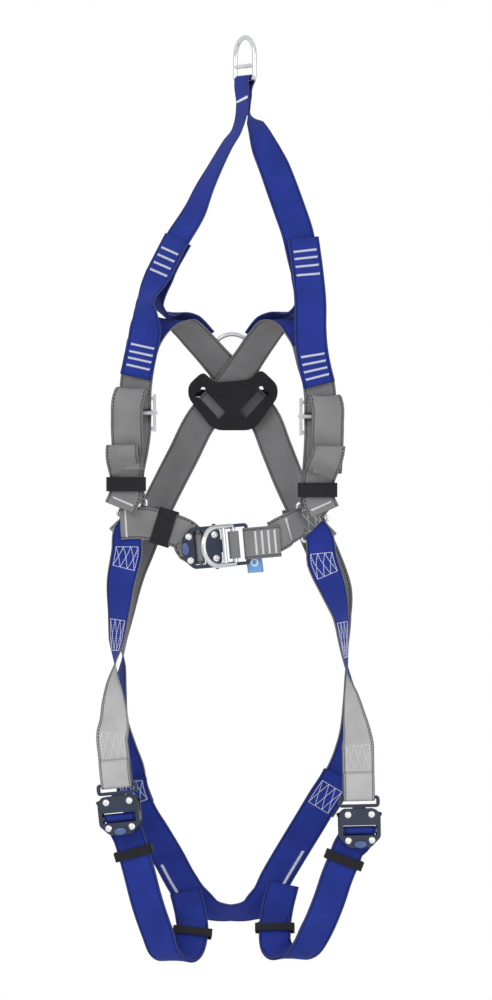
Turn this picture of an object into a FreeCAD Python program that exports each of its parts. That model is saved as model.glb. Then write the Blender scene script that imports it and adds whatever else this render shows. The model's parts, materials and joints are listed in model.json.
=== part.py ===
"""Full body safety harness with an overhead rescue strap, hanging from its rescue ring.

Millimetres, +Z up, the wearer's front towards -Y, "left" is the -X side.
The origin is the centre of the rescue ring's eye.
Every strap is 45 mm webbing, laid along a hand-chosen route of stations.  A station is
(x, y, z, turn, tip): a point on the strap's middle line and the way its outer face looks,
where turn 0 looks at -Y, turn 90 at +X, and tip raises the look towards +Z.
"""

import FreeCAD, Part
import math
import os

from FreeCAD import Vector

# ---- driving dimensions -------------------------------------------------------------
WEB_WIDTH = 45.0
WEB_THICK = 2.2
PLY_STEP = 3.2            # from one ply's middle to the next where two lie together
WRAP_GAP = 0.6            # between webbing and the bar that it goes round
GATHERED = 40.0           # width of webbing where it bunches on a ring
IN_SLOT = 44.0            # width of webbing where a tongue's slot squeezes it
CORNERS = 17.0            # of a hip ring's side, taken up by its two rounded corners
LOOP_REACH = 34.0         # how far a tongue's webbing loop runs past its bar
CHEST_FRONT_MORE = 12.0   # how much further the chest loop's front ply runs
SEWN_BACK = 22.0          # the free ply behind each hip ring bar
STRAP_FROM = 26.0         # where the strap that it holds begins, past the same bar
STRAP_STRAIGHT = 64.0     # and how far that strap stays flat, for the tongue to slide along

RING_ROD = 7.0            # rescue and front rings
RING_HALF = 26.5          # centre line, half width
RING_TOP = 20.3           # centre line of the arc's top over the eye's centre
RING_BASE = -38.5         # base bar under the eye's centre
RING_CROSS = -19.6        # crossbar under the eye's centre
RESCUE_TURN = 60.0        # how far the rescue ring is turned about the vertical

RING_BAR_Z = 43.0         # the front ring's base bar along the chest tongue
RING_BAR_Y = -6.2         # and in front of it
FRONT_RING_LEAN = 44.0

DORSAL_ROD = 6.5
DORSAL_HALF = 29.8
DORSAL_HEIGHT = 70.8
DORSAL_BAR = (-18.0, 71.0, -464.0)

DELTA_ROD = 4.5
DELTA_Y = -28.0
DELTA_LEFT = [(-138, -622), (-139, -688), (-181, -644)]     # A inner top, B bottom, C outer
DELTA_RIGHT = [(72, -627), (80, -690), (119, -652)]

PLATE_Y = 52.5
PLATE_THICK = 4.0
PLATE_CENTRE = (-17.0, -477.0)

BODY_WIDTH = 58.0         # quick-connect buckle, across the webbing
BODY_TOP = 25.0
BODY_BOTTOM = -29.0
SHEET = 2.5               # buckle plate thickness
GAP = 6.0                 # half the space between the buckle plates
RIVET_X = 16.5
RIVET_HIGH = 17.0
RIVET_LOW = -19.0
RIVET_R = 2.2
BAR_Z = -5.0              # webbing bar in the buckle's window
BAR_R = 2.5
TONGUE_HALF = 2.0         # half the tongue's thickness
LOAD_PLY = 12.6           # depth behind the buckle's middle of the ply next to it
TAIL_PLY = LOAD_PLY + PLY_STEP

ADJUSTER_Y = -46.5
ADJUSTER_ROD = 2.5
SLIDER_R = 4.0

KEEPER_WALL = 1.6
KEEPER_CLEAR = 1.0

OUT = "parts"


# ---- vectors and frames -------------------------------------------------------------
def looking(turn, tip=0.0):
    """The unit vector that a face looks along."""
    a = math.radians(turn)
    b = math.radians(tip)
    return Vector(math.sin(a) * math.cos(b), -math.cos(a) * math.cos(b), math.sin(b))


def unit(v):
    return v * (1.0 / v.Length)


def turned(v, axis, degrees):
    return FreeCAD.Rotation(axis, degrees).multVec(v)


class Frame:
    """A local frame: x across, y away from the viewer, z along."""

    def __init__(self, origin, roll=0.0, turn=0.0, lie=False):
        x = Vector(0, 0, -1) if lie else Vector(1, 0, 0)
        z = Vector(1, 0, 0) if lie else Vector(0, 0, 1)
        front = Vector(0, 1, 0)
        up = Vector(0, 0, 1)
        self.o = Vector(*origin)
        self.x = turned(turned(x, front, -roll), up, turn)
        self.z = turned(turned(z, front, -roll), up, turn)
        self.y = self.z.cross(self.x)

    def at(self, x, y, z):
        return self.o + self.x * x + self.y * y + self.z * z

    def placed(self, shape):
        matrix = FreeCAD.Matrix(
            self.x.x, self.y.x, self.z.x, self.o.x,
            self.x.y, self.y.y, self.z.y, self.o.y,
            self.x.z, self.y.z, self.z.z, self.o.z,
            0, 0, 0, 1,
        )
        copy = shape.copy()
        copy.Placement = FreeCAD.Placement(matrix)
        return copy


# ---- webbing ------------------------------------------------------------------------
def station(point, look, width=WEB_WIDTH):
    return (point, unit(look), width)


def route(rows, width=WEB_WIDTH):
    """Stations from rows of (x, y, z, turn) or (x, y, z, turn, tip)."""
    return [station(Vector(*row[:3]), looking(*row[3:]), width) for row in rows]


def wrap(centre, axis, start, sweep, radius, outer=1, width=WEB_WIDTH, steps=8):
    """Stations of webbing that goes round a bar, from the direction start through sweep degrees."""
    found = []
    for k in range(steps + 1):
        out = turned(start, axis, sweep * k / steps)
        found.append(station(centre + out * radius, out * outer, width))
    return found


def offset(stations, depth):
    """The same stations, moved along their own outward looks."""
    return [(p + n * depth, n, w) for p, n, w in stations]


def flipped(stations):
    """The same line walked backwards with the faces exchanged."""
    return [(p, n * -1.0, w) for p, n, w in reversed(stations)]


def slope(stations, i):
    """The route's direction at station i, leaning to the nearer neighbour's side."""
    here = stations[i][0]
    if i == 0:
        return unit(stations[1][0] - here)
    if i == len(stations) - 1:
        return unit(here - stations[i - 1][0])
    before = here - stations[i - 1][0]
    after = stations[i + 1][0] - here
    return unit(before * (after.Length / before.Length) + after * (before.Length / after.Length))


def sections(stations):
    """Where each section's four corners lie."""
    found = []
    for i, (p, n, width) in enumerate(stations):
        t = slope(stations, i)
        across = unit(n.cross(t))
        up = t.cross(across)
        half = across * (width / 2.0)
        thick = up * (WEB_THICK / 2.0)
        found.append([p - half - thick, p + half - thick, p + half + thick, p - half + thick])
    return found


def smooth(stations, parts=2):
    """Points on a curve through the stations."""
    found = []
    last = len(stations) - 1
    for i in range(last):
        p, n, width = stations[i]
        q, m, wide = stations[i + 1]
        span = (q - p).Length
        for k in range(parts):
            s = k / parts
            point = hermite(p, slope(stations, i) * span, q, slope(stations, i + 1) * span, s)
            found.append((point, unit(n * (1 - s) + m * s), width * (1 - s) + wide * s))
    found.append(stations[-1])
    return found


def hermite(p, leave, q, arrive, s):
    first = p * (2 * s ** 3 - 3 * s ** 2 + 1) + leave * (s ** 3 - 2 * s ** 2 + s)
    return first + q * (3 * s ** 2 - 2 * s ** 3) + arrive * (s ** 3 - s ** 2)


def webbing(stations, parts=2):
    """One closed solid of webbing along the stations."""
    rings = sections(smooth(stations, parts))
    faces = [facet(*rings[0][:3]), facet(rings[0][0], rings[0][2], rings[0][3])]
    faces += [facet(*rings[-1][2::-1]), facet(rings[-1][0], rings[-1][3], rings[-1][2])]
    for a, b in zip(rings, rings[1:]):
        for i, j in ((0, 1), (1, 2)):
            faces.append(facet(a[i], b[i], b[j]))
            faces.append(facet(a[i], b[j], a[j]))
        for i, j in ((2, 3), (3, 0)):
            faces.append(facet(a[i], b[i], a[j]))
            faces.append(facet(b[i], b[j], a[j]))
    shell = Part.makeShell(faces)
    shell.sewShape()
    return Part.makeSolid(shell)


def facet(a, b, c):
    return Part.Face(Part.makePolygon([a, b, c, a]))


# ---- straps -------------------------------------------------------------------------
RESCUE_UP = [
    (-120, -46, -314, -40),
    (-96, -44, -267, -42),
    (-70, -38, -224, -46),
    (-57, -34, -193, -54),
    (-42, -28, -163, -61),
    (-23, -20, -128, -66),
    (-12, -16, -111, -69),
    (-5, -11, -88, -68),
    (-3, -7.5, -66, -66),
]
RESCUE_DOWN = [
    (0.2, -6.1, -66, 114),
    (5, -6, -84, 95),
    (14, -9, -99, 60),
    (29, -15, -136, 30),
    (41, -22, -163, 16),
    (52, -28, -193, 6),
    (63, -33, -224, 2),
    (73, -38, -254, 6),
    (80, -42, -286, 12),
    (87, -44.5, -314, 12),
]
LINK_FRONT_LEFT = [
    (-95, -46.8, -262, -41),
    (-122, -49.4, -315, -40),
    (-136, -52, -343, -56),
    (-140, -55, -357, -54),
    (-139, -58, -375, -33),
    (-139, -58, -393, -4),
    (-144, -56.8, -420, 0),
    (-152, -56, -456, 0),
]
LINK_FRONT_RIGHT = [
    (81, -43.6, -262, 12),
    (88, -48.2, -315, 12),
    (91, -51, -354, 4),
    (91, -55, -389, -2),
    (93, -56.8, -417, 0),
    (98, -56.8, -445, 0),
    (103.5, -56, -467, 0),
]
LINK_REAR_LEFT = [
    (-91, -41, -265, 139),
    (-116, -42.4, -314, 139),
    (-123, -30, -345, 118),
    (-117, -15, -361, 100, 50),
    (-101, 3, -366, 140, 72),
    (-80, 18, -379, 180, 50),
    (-61, 34, -400, 180, 42),
]
LINK_REAR_RIGHT = [
    (77, -34.6, -265, 190),
    (86, -39.8, -314, 192),
    (83, -30, -345, 235),
    (74, -15, -361, 240, 50),
    (58, 3, -366, 215, 72),
    (34, 18, -380, 180, 50),
    (19, 33, -400, 180, 42),
]
SHOULDER_LEFT = [
    (-151, -47.2, -459, 0),
    (-145, -49.8, -423, 0),
    (-138, -47, -402, 0, 10),
    (-129, -39, -388, 0, 30),
    (-115, -23, -378, 0, 60),
    (-99, -5, -376, 20, 86),
    (-84, 10, -384, 180, 52),
    (-66, 26, -402, 180, 42),
    (-45, 48, -425, 180, 36),
    (-24, 61.8, -449, 180, 16),
    (-2, 66, -478, 180, 3),
    (26, 65, -510, 180),
    (44, 56, -554, 184),
    (62, 42, -599, 188),
    (80, 26, -638, 188),
    (97, 14, -673, 184),
    (115, 9, -715, 180),
    (129, 13, -753, 158),
    (136, 18, -788, 124),
    (140, 21, -837, 100),
    (144, 20, -872, 80),
    (148, 18, -907, 62),
    (150, 17, -945, 42),
    (148, 20, -972, 22),
    (140, 23.5, -1000, 10),
    (127, 27.9, -1026, 4),
    (114, 31.0, -1047, 0),
    (105, 33.5, -1061, -2),
]
SHOULDER_RIGHT = [
    (102, -47.2, -462, 0),
    (92, -49.8, -426, 0),
    (86, -47, -404, 0, 10),
    (77, -39, -389, 0, 30),
    (66, -23, -378, 0, 60),
    (51, -5, -375, -20, 86),
    (37, 10, -385, 180, 52),
    (24, 24, -401, 180, 42),
    (8, 43.2, -424, 180, 38),
    (-8, 55.9, -448, 180, 18),
    (-30, 59, -478, 180, 3),
    (-60, 59, -512, 180),
    (-87, 50, -564, 176),
    (-115, 36, -619, 172),
    (-132, 22, -655, 174),
    (-148, 13, -694, 178),
    (-164, 9, -736, 192),
    (-171, 8, -784, 225),
    (-172, 6, -823, 255),
    (-171, 3, -858, 280),
    (-175, 6, -893, 295),
    (-177, 12, -935, 308),
    (-171, 17.5, -975, 332),
    (-163, 23.0, -1004, 348),
    (-157.6, 27.6, -1033, 352),
    (-149, 31.0, -1057, 357),
]
SEAT = [
    (-160, 20.8, -1018, 350),
    (-158, 23, -1033, 352),
    (-147, 27, -1064, 0),
    (-126, 34, -1099, 5),
    (-106, 43, -1133, 8),
    (-90, 52, -1163, 10),
    (-71, 58.5, -1190, 8, -12),
    (-47, 64, -1205, 4, -48),
    (-20, 65.5, -1209, 0, -56),
    (7, 64, -1205, -4, -48),
    (28, 58.5, -1190, -8, -12),
    (43, 52, -1161, -10),
    (71, 42, -1113, -8),
    (92, 33, -1078, -4),
    (111, 27, -1046, 0),
    (124, 24.5, -1026, 4),
    (131, 22, -1013, 6),
]
HIP_LEFT = [
    (-165, -31, -702, -8),
    (-173, -28, -742, -25),
    (-176, -26, -784, -46),
    (-179, -25, -823, -60),
    (-181, -27, -858, -90),
    (-182, -34, -888, -120),
    (-182, -44, -914, -142),
    (-182, -54, -938, -158),
]
HIP_RIGHT = [
    (108, -31, -713, 10),
    (123, -29, -753, 36),
    (133, -29, -788, 60),
    (138, -29, -830, 73),
    (143, -29, -872, 90),
    (148, -34, -902, 114),
    (152, -44, -930, 134),
    (156, -54, -955, 154),
]
LEG_LEFT = [
    (-162, -50.5, -1096, -12),
    (-155, -49.5, -1118, -10),
    (-149, -47.5, -1140, -8),
    (-136, -42, -1190, -6),
    (-122, -31, -1232, -6, -10),
    (-112, -20, -1260, -14, -45),
    (-98, -3, -1271, -20, -85),
    (-80, 14, -1257, 190, -40),
    (-74, 23, -1234, 184, -12),
    (-76, 36, -1210, 182, -22),
    (-84, 50, -1178, 186, -18),
]
LEG_RIGHT = [
    (145, -50.5, -1110, 6),
    (138, -49.5, -1128, 8),
    (129, -47, -1150, 8),
    (117, -41, -1186, 6),
    (99, -32, -1229, 6, -10),
    (83, -20, -1257, 12, -45),
    (63, -3, -1268, 12, -85),
    (44, 14, -1253, 170, -40),
    (42, 24, -1228, 176, -12),
    (45, 35, -1204, 178, -20),
    (54, 46.5, -1167, 174, -14),
]
LOAD_LEFT = [
    (-160.3, -41.5, -627.5, 0),
    (-162, -45.2, -620, 0),
    (-163, -45.2, -594, 0),
    (-156, -49, -553, 0),
    (-153, -51.2, -529, 0),
    (-153, -49, -521, 0, 20),
    (-153, -42.5, -515, 0, 20),
    (-153, -40.8, -508, 0),
    (-153, -42.5, -501.5, 0, -40),
    (-153, -47, -499.3, 0, -75),
    (-153, -52.5, -495, 0, -45),
    (-153, -54.8, -488, 0),
    (-153, -56, -479, 0),
    (-155, -63, -473.5, 0, -90),
    (-161, -70, -483, 180),
    (-164, -71.5, -515, 180),
    (-163, -66, -552, 180),
    (-163, -60, -575, 180),
]
LOAD_RIGHT = [
    (97.5, -41, -634, 0),
    (99.5, -45.2, -626, 0),
    (101, -45.2, -602, 0),
    (104, -49, -558, 0),
    (105, -51.2, -534, 0),
    (105, -49, -526, 0, 20),
    (105, -42.5, -520, 0, 20),
    (105, -40.8, -513, 0),
    (105, -42.5, -506.7, 0, -40),
    (105, -47, -504.5, 0, -75),
    (105, -52.5, -500.2, 0, -45),
    (105, -54.8, -493.2, 0),
    (106, -57, -487, 0, -20),
    (109, -63, -483.5, 0, -90),
    (114, -70, -493, 180),
    (115, -71.5, -522, 180),
    (114, -66, -556, 180),
    (112, -60, -580, 180),
]
TAIL_END_LEFT = [
    (-165, -66, -572, 0),
    (-168, -71, -558, 0),
    (-170, -77, -551.5, 0, -90),
    (-171, -82, -560, 180),
    (-168, -64, -582, 180),
    (-166, -50.5, -592, 180),
    (-166, -49.2, -604, 180),
    (-167, -49.2, -620, 180),
    (-174, -53, -638, 180),
]
TAIL_END_RIGHT = [
    (113, -66, -576, 0),
    (115, -71, -561, 0),
    (117, -77, -553, 0, -90),
    (115, -82, -564, 180),
    (106, -66, -588, 180),
    (103, -51.5, -598, 180),
    (102, -49.2, -606, 180),
    (103, -49.2, -627, 180),
    (110, -53, -644, 180),
]
CHEST_LOAD = [
    (-127, -33.6, -661, 0),
    (-112, -36.2, -665, 0),
    (-96, -40.6, -670, 0),
    (-82, -46.2, -677, 0),
]
CHEST_TAIL = [
    (-82, -49.6, -677, 180),
    (-97, -44.3, -670, 180),
    (-113, -39.8, -664.5, 180),
    (-129, -37.5, -661, 180),
    (-150, -37.5, -659, 180),
    (-174, -37.5, -660, 180),
]
CHEST_RIGHT = [
    (70, -43.5, -662, 55),
    (63, -54, -666, 52),
    (57.5, -60.5, -669, 28),
    (50, -62, -673.5, 0),
    (43, -62, -677.5, 0),
    (36.5, -62, -679.5, 0),
]

LEG_LEFT_FRAME = Frame((-174, -63, -1063), roll=6, turn=-10)
LEG_RIGHT_FRAME = Frame((159, -63, -1081), roll=1, turn=6)
CHEST_FRAME = Frame((-58, -62, -693), roll=5, lie=True)
LEG_TONGUE_BAR = 40.5
CHEST_TONGUE_BAR = 61.5


def rod_wrap(radius):
    return radius + WRAP_GAP + WEB_THICK / 2.0


def rescue_frame():
    """The rescue ring's own frame: x along the base bar, y through the ring."""
    return Frame((0, 0, 0), turn=-RESCUE_TURN)


def rescue_strap():
    ring = rescue_frame()
    bar = ring.at(0, 0, RING_BASE)
    over = wrap(bar, ring.x * -1.0, ring.y * -1.0, 180, rod_wrap(RING_ROD / 2.0), 1, GATHERED)
    return route(RESCUE_UP) + over + route(RESCUE_DOWN)


def shoulder_strap(rows, bar_x, bar_z):
    """From the sewn end, round the adjuster's top bar, over the shoulder and on to the far hip."""
    up = route(rows)
    sewn = [(p + Vector(0, -PLY_STEP, 0), n * -1.0, w) for p, n, w in up[:2]]
    end = (sewn[1][0] + Vector(3 if bar_x < 0 else -2, 1, 16), sewn[1][1], WEB_WIDTH)
    bar = Vector(bar_x, ADJUSTER_Y, bar_z)
    around = wrap(bar, Vector(1, 0, 0), Vector(0, -1, 0), 180, rod_wrap(ADJUSTER_ROD), -1)
    return [end, sewn[1], sewn[0]] + around + up


def side_frame(a, b):
    """Middle and direction of a delta ring's side."""
    start = Vector(a[0], DELTA_Y, a[1])
    stop = Vector(b[0], DELTA_Y, b[1])
    return (start + stop) * 0.5, unit(stop - start)


def on_delta(a, b, away, sweep=180):
    """Webbing round one side of a delta ring, from behind to the front.

    away points out of the ring, the way the strap leaves it."""
    middle, along = side_frame(a, b)
    flat = unit(away - along * away.dot(along))
    axis = Vector(0, 1, 0).cross(flat)
    axis = axis * (-1.0 if turned(Vector(0, 1, 0), axis, 90).dot(flat) > 0 else 1.0)
    radius = rod_wrap(DELTA_ROD / 2.0)
    width = min(GATHERED, math.dist(a, b) - CORNERS)
    around = wrap(middle, axis, Vector(0, 1, 0), sweep, radius, 1, width)
    back = around[0][0] + flat * SEWN_BACK - Vector(0, 1.5, 0)
    return [(back, around[0][1], width)] + around


def load_strap(rows, tail_rows, delta):
    """Hip ring, adjuster, and the stowed tail in two folds."""
    start = on_delta(delta[0], delta[2], Vector(0, 0, 1))
    down = route(rows)
    low = (down[-1][0] + Vector(0, -3, -9), Vector(0, 0, -1), WEB_WIDTH)
    return start + down + [low] + route(tail_rows)


def hip_strap(rows, delta, frame):
    """Delta ring, down the hip, half a twist, and flat into the leg tongue's loop."""
    start = on_delta(delta[1], delta[2], Vector(0, 0, -1))
    flat = []
    for past in (STRAP_STRAIGHT, 45.0, STRAP_FROM):
        flat.append(station(frame.at(0, 0, LEG_TONGUE_BAR + past), frame.y))
    return start + route(rows) + flat


def tongue_loop(frame, bar_z, front_more=0.0):
    """The loop of webbing that rides on a tongue's bar and holds the strap between its plies."""
    radius = rod_wrap(BAR_R)
    top = bar_z + LOOP_REACH
    around = wrap(frame.at(0, 0, bar_z), frame.x, frame.y * -1.0, 180, radius, -1, IN_SLOT)
    front = station(frame.at(0, -radius, top + front_more), frame.y, IN_SLOT)
    back = station(frame.at(0, radius, top), frame.y * -1.0, IN_SLOT)
    return [front] + around + [back]


def buckle_wrap(frame):
    """Webbing through a buckle's window, from the ply that is next to the plate."""
    bar = frame.at(0, 0, BAR_Z)
    radius = rod_wrap(BAR_R)
    low = station(frame.at(0, GAP + SHEET + 1.0, BAR_Z - radius), frame.z * -1.0)
    high = station(frame.at(0, GAP + SHEET + 1.0, BAR_Z + radius), frame.z)
    bend = frame.z + frame.y
    near = station(frame.at(0, LOAD_PLY, BAR_Z - 9.5), frame.y * -1.0)
    far = station(frame.at(0, TAIL_PLY, BAR_Z - 3.0), frame.y)
    turn = wrap(bar, frame.x, frame.z * -1.0, -180, radius)
    return [near, low] + turn + [high, station(frame.at(0, TAIL_PLY - 1.2, BAR_Z + 2.6), bend), far]


def leg_strap(rows, frame, tail_stop, tail_out):
    """Stowed tail, buckle window, front of the thigh, under it and up to the seat strap."""
    load = route(rows)
    tail = flipped(offset(load[:tail_stop], -PLY_STEP))
    tip = (tail[0][0] + Vector(*tail_out), tail[0][1], WEB_WIDTH)
    return [tip] + tail + list(reversed(buckle_wrap(frame))) + load


def chest_strap_left():
    """Delta ring, buckle window, and the tail folded back in front."""
    start = on_delta(DELTA_LEFT[0], DELTA_LEFT[1], Vector(1, 0, 0))
    load = route(CHEST_LOAD)
    through = flipped(buckle_wrap(CHEST_FRAME))
    return start + load + through + route(CHEST_TAIL)


def chest_strap_right():
    """From the right hip ring, flat into the chest tongue's loop."""
    start = on_delta(DELTA_RIGHT[0], DELTA_RIGHT[1], Vector(-1, 0, 0), 125)
    return start + route(CHEST_RIGHT)


# ---- rings --------------------------------------------------------------------------
def rod(points_edges, radius):
    """A round bar swept along a wire."""
    wire = Part.Wire(points_edges)
    first = wire.Edges[0]
    start = first.valueAt(first.FirstParameter)
    along = first.tangentAt(first.FirstParameter)
    circle = Part.Wire([Part.makeCircle(radius, start, along)])
    return wire.makePipeShell([circle], True, False, 2)


def ring_shape(half, top, base, radius, corner=4.5):
    """A D of round bar in the local xz plane: an arc over two straight sides and a base."""
    shoulder = top - half
    edges = [
        Part.makeLine(Vector(0, 0, base), Vector(half - corner, 0, base)),
        corner_arc(Vector(half - corner, 0, base + corner), corner, -90),
        Part.makeLine(Vector(half, 0, base + corner), Vector(half, 0, shoulder)),
        Part.Arc(Vector(half, 0, shoulder), Vector(0, 0, top), Vector(-half, 0, shoulder)).toShape(),
        Part.makeLine(Vector(-half, 0, shoulder), Vector(-half, 0, base + corner)),
        corner_arc(Vector(corner - half, 0, base + corner), corner, 180),
        Part.makeLine(Vector(corner - half, 0, base), Vector(0, 0, base)),
    ]
    return rod(edges, radius)


def corner_arc(centre, radius, start):
    points = []
    for degrees in (start, start + 45, start + 90):
        a = math.radians(degrees)
        points.append(centre + Vector(math.cos(a), 0, math.sin(a)) * radius)
    return Part.Arc(*points).toShape()


def barred_ring():
    """The D with a crossbar, used at the top and on the chest; the eye's centre is the origin."""
    crossbar = Part.makeCylinder(
        RING_ROD / 2.0 - 0.5, 2 * RING_HALF, Vector(-RING_HALF, 0, RING_CROSS), Vector(1, 0, 0)
    )
    return ring_shape(RING_HALF, RING_TOP, RING_BASE, RING_ROD / 2.0).fuse(crossbar)


def front_ring_frame():
    """The front ring leans out of the chest tongue, over the female buckle."""
    bar = CHEST_FRAME.at(0, RING_BAR_Y, RING_BAR_Z)
    lean = FRONT_RING_LEAN
    frame = Frame((0, 0, 0))
    frame.x = CHEST_FRAME.x
    frame.z = turned(CHEST_FRAME.z * -1.0, CHEST_FRAME.x, -lean)
    frame.y = frame.z.cross(frame.x)
    frame.o = bar - frame.z * RING_BASE
    return frame


def dorsal_ring():
    shape = ring_shape(DORSAL_HALF, DORSAL_HEIGHT, 0.0, DORSAL_ROD / 2.0, 7.0)
    return Frame(DORSAL_BAR).placed(shape)


def delta_ring(corners):
    """A triangle of round wire with rounded corners."""
    points = [Vector(x, DELTA_Y, z) for x, z in corners]
    radius = 5.0
    edges = []
    ends = []
    for i in range(3):
        here = points[i]
        back = unit(points[i - 1] - here)
        on = unit(points[(i + 1) % 3] - here)
        half = back.getAngle(on) / 2.0
        reach = radius / math.tan(half)
        middle = unit(back + on) * (radius / math.sin(half) - radius)
        ends.append((here + back * reach, here + middle, here + on * reach))
    for i in range(3):
        edges.append(Part.Arc(*ends[i]).toShape())
        edges.append(Part.makeLine(ends[i][2], ends[(i + 1) % 3][0]))
    return rod(edges, DELTA_ROD / 2.0)


# ---- dorsal plate -------------------------------------------------------------------
def prism(points, y0, y1):
    """A straight block on an outline in the xz plane."""
    corners = [Vector(x, y0, z) for x, z in points]
    face = Part.Face(Part.makePolygon(corners + corners[:1]))
    return face.extrude(Vector(0, y1 - y0, 0))


def rounded(points, radius):
    """The outline with its corners cut by short chords that follow a round."""
    found = []
    count = len(points)
    for i, here in enumerate(points):
        h = Vector(here[0], 0, here[1])
        a = Vector(points[i - 1][0], 0, points[i - 1][1]) - h
        b = Vector(points[(i + 1) % count][0], 0, points[(i + 1) % count][1]) - h
        reach = min(radius, a.Length / 2.2, b.Length / 2.2)
        start = h + unit(a) * reach
        stop = h + unit(b) * reach
        for s in (0.0, 0.25, 0.5, 0.75, 1.0):
            p = start * ((1 - s) ** 2) + h * (2 * s * (1 - s)) + stop * (s * s)
            found.append((p.x, p.z))
    return found


def dorsal_plate():
    """The black plate in front of the crossed straps: notch above, two slanted windows."""
    outline = [(-27, 15), (-41.5, 32), (-63, 12), (-63, -6), (-27, -52), (29, -52), (63, -6), (63, 12),
               (39, 35), (25, 20)]
    cx, cz = PLATE_CENTRE
    y0 = PLATE_Y - PLATE_THICK / 2.0
    y1 = PLATE_Y + PLATE_THICK / 2.0
    plate = prism(rounded([(cx + x, cz + z) for x, z in outline], 13), y0, y1)
    for x, z, slant in ((-31, -14, -47), (29, -13, 48)):
        window = Part.makeBox(47, 20, 13, Vector(-23.5, -10, -6.5))
        for sx in (-22, 22):
            for sz in (-5.5, 5.5):
                size = 3.2 if sx * slant > 0 else 2.2
                hole = Part.makeCylinder(size, 20, Vector(sx, -10, sz), Vector(0, 1, 0))
                window = window.fuse(hole)
        window.Placement = FreeCAD.Placement(
            Vector(cx + x, PLATE_Y, cz + z), FreeCAD.Rotation(Vector(0, -1, 0), slant)
        )
        plate = plate.cut(window)
    return plate


def ring_bracket():
    """Behind the plate: a bar across the straps' backs with a saddle round the dorsal ring's base."""
    bx, by, bz = DORSAL_BAR
    cx = PLATE_CENTRE[0]
    front = PLATE_Y + PLATE_THICK / 2.0
    inner = by + DORSAL_ROD / 2.0 - 2.4
    bar = Part.makeBox(124, 3.6, 10, Vector(cx - 62, inner + 1.0, bz - 17))
    for x in (cx - 62, cx + 57):
        bar = bar.fuse(Part.makeBox(5, inner + 4.6 - front, 10, Vector(x, front, bz - 17)))
    grip = DORSAL_ROD / 2.0 + 0.35
    saddle = Part.makeCylinder(grip + 2.6, 26, Vector(bx - 13, by, bz), Vector(1, 0, 0))
    saddle = saddle.fuse(Part.makeBox(26, 3.6, 9, Vector(bx - 13, inner + 1.0, bz - 12)))
    saddle = saddle.cut(Part.makeBox(30, 10, 30, Vector(bx - 15, by - 10.4, bz - 15)))
    bar = bar.fuse(saddle)
    return bar.cut(Part.makeCylinder(grip, 30, Vector(bx - 15, by, bz), Vector(1, 0, 0)))


# ---- quick-connect buckle -----------------------------------------------------------
def body_outline():
    half = BODY_WIDTH / 2.0
    return [(-half + 7, BODY_TOP), (-half, BODY_TOP - 8), (-half, BODY_BOTTOM + 14), (-half + 14, BODY_BOTTOM),
            (half - 14, BODY_BOTTOM), (half, BODY_BOTTOM + 14), (half, BODY_TOP - 8), (half - 7, BODY_TOP)]


def body_plate(y0, y1, thumb):
    plate = prism(rounded(body_outline(), 4), y0, y1)
    window = Part.makeBox(WEB_WIDTH + 2.0, 10, 14, Vector(-WEB_WIDTH / 2.0 - 1, min(y0, y1) - 3, BAR_Z - 7))
    plate = plate.cut(window)
    for x in (-RIVET_X, RIVET_X):
        for z in (RIVET_LOW, RIVET_HIGH):
            plate = plate.cut(Part.makeCylinder(RIVET_R + 0.15, 20, Vector(x, -10, z), Vector(0, 1, 0)))
    if thumb:
        rest = Part.makeCylinder(5.5, 1.8, Vector(0, y0 - 1.8, 0), Vector(0, 1, 0))
        wide = FreeCAD.Matrix()
        wide.scale(1.8, 1.0, 1.0)
        rest = rest.transformGeometry(wide)
        rest.translate(Vector(0, 0, BODY_BOTTOM + 4.5))
        plate = plate.fuse(rest)
    return plate


def front_plate():
    return body_plate(-GAP - SHEET, -GAP, True)


def back_plate():
    """The rear plate carries the side walls that hold the webbing bar's ends."""
    plate = body_plate(GAP, GAP + SHEET, False)
    for x in (-BODY_WIDTH / 2.0 + 0.5, BODY_WIDTH / 2.0 - 4.5):
        wall = Part.makeBox(4.0, 2 * GAP - 0.4, 13, Vector(x, -GAP + 0.4, BAR_Z - 6.5))
        plate = plate.fuse(wall)
    hole = Part.makeCylinder(BAR_R + 0.1, BODY_WIDTH - 2, Vector(-BODY_WIDTH / 2.0 + 1, 0, BAR_Z), Vector(1, 0, 0))
    return plate.cut(hole)


def webbing_bar():
    return Part.makeCylinder(BAR_R, BODY_WIDTH - 3, Vector(-BODY_WIDTH / 2.0 + 1.5, 0, BAR_Z), Vector(1, 0, 0))


def lever(side):
    """A release lever on an upper rivet: a press tab outside, a dog beside the tongue's head."""
    outline = [(9.6, 12), (16, 10.5), (22, 11), (31, 14), (32, 19), (29, 20), (22, 21.5), (14, 22.5), (9.6, 20)]
    blade = prism(rounded(outline, 2.5), -1.8, 1.8)
    blade = blade.cut(Part.makeCylinder(RIVET_R + 0.25, 20, Vector(RIVET_X, -10, RIVET_HIGH), Vector(0, 1, 0)))
    return blade if side > 0 else blade.mirror(Vector(0, 0, 0), Vector(1, 0, 0))


def lever_spring(side):
    """The torsion spring between a lever and the rear plate, with its two legs."""
    high = 3.4
    coil = Part.makeCylinder(4.4, 1.4, Vector(RIVET_X, high, RIVET_HIGH), Vector(0, 1, 0))
    coil = coil.cut(Part.makeCylinder(3.1, 5, Vector(RIVET_X, high - 1, RIVET_HIGH), Vector(0, 1, 0)))
    leg = Part.makeBox(8.0, 1.0, 1.0, Vector(RIVET_X + 3.5, high + 0.2, RIVET_HIGH - 0.5))
    foot = Part.makeBox(1.0, 1.0, 8.0, Vector(RIVET_X - 0.5, high + 0.2, RIVET_HIGH - 11.5))
    spring = coil.fuse(leg).fuse(foot)
    return spring if side > 0 else spring.mirror(Vector(0, 0, 0), Vector(1, 0, 0))


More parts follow.
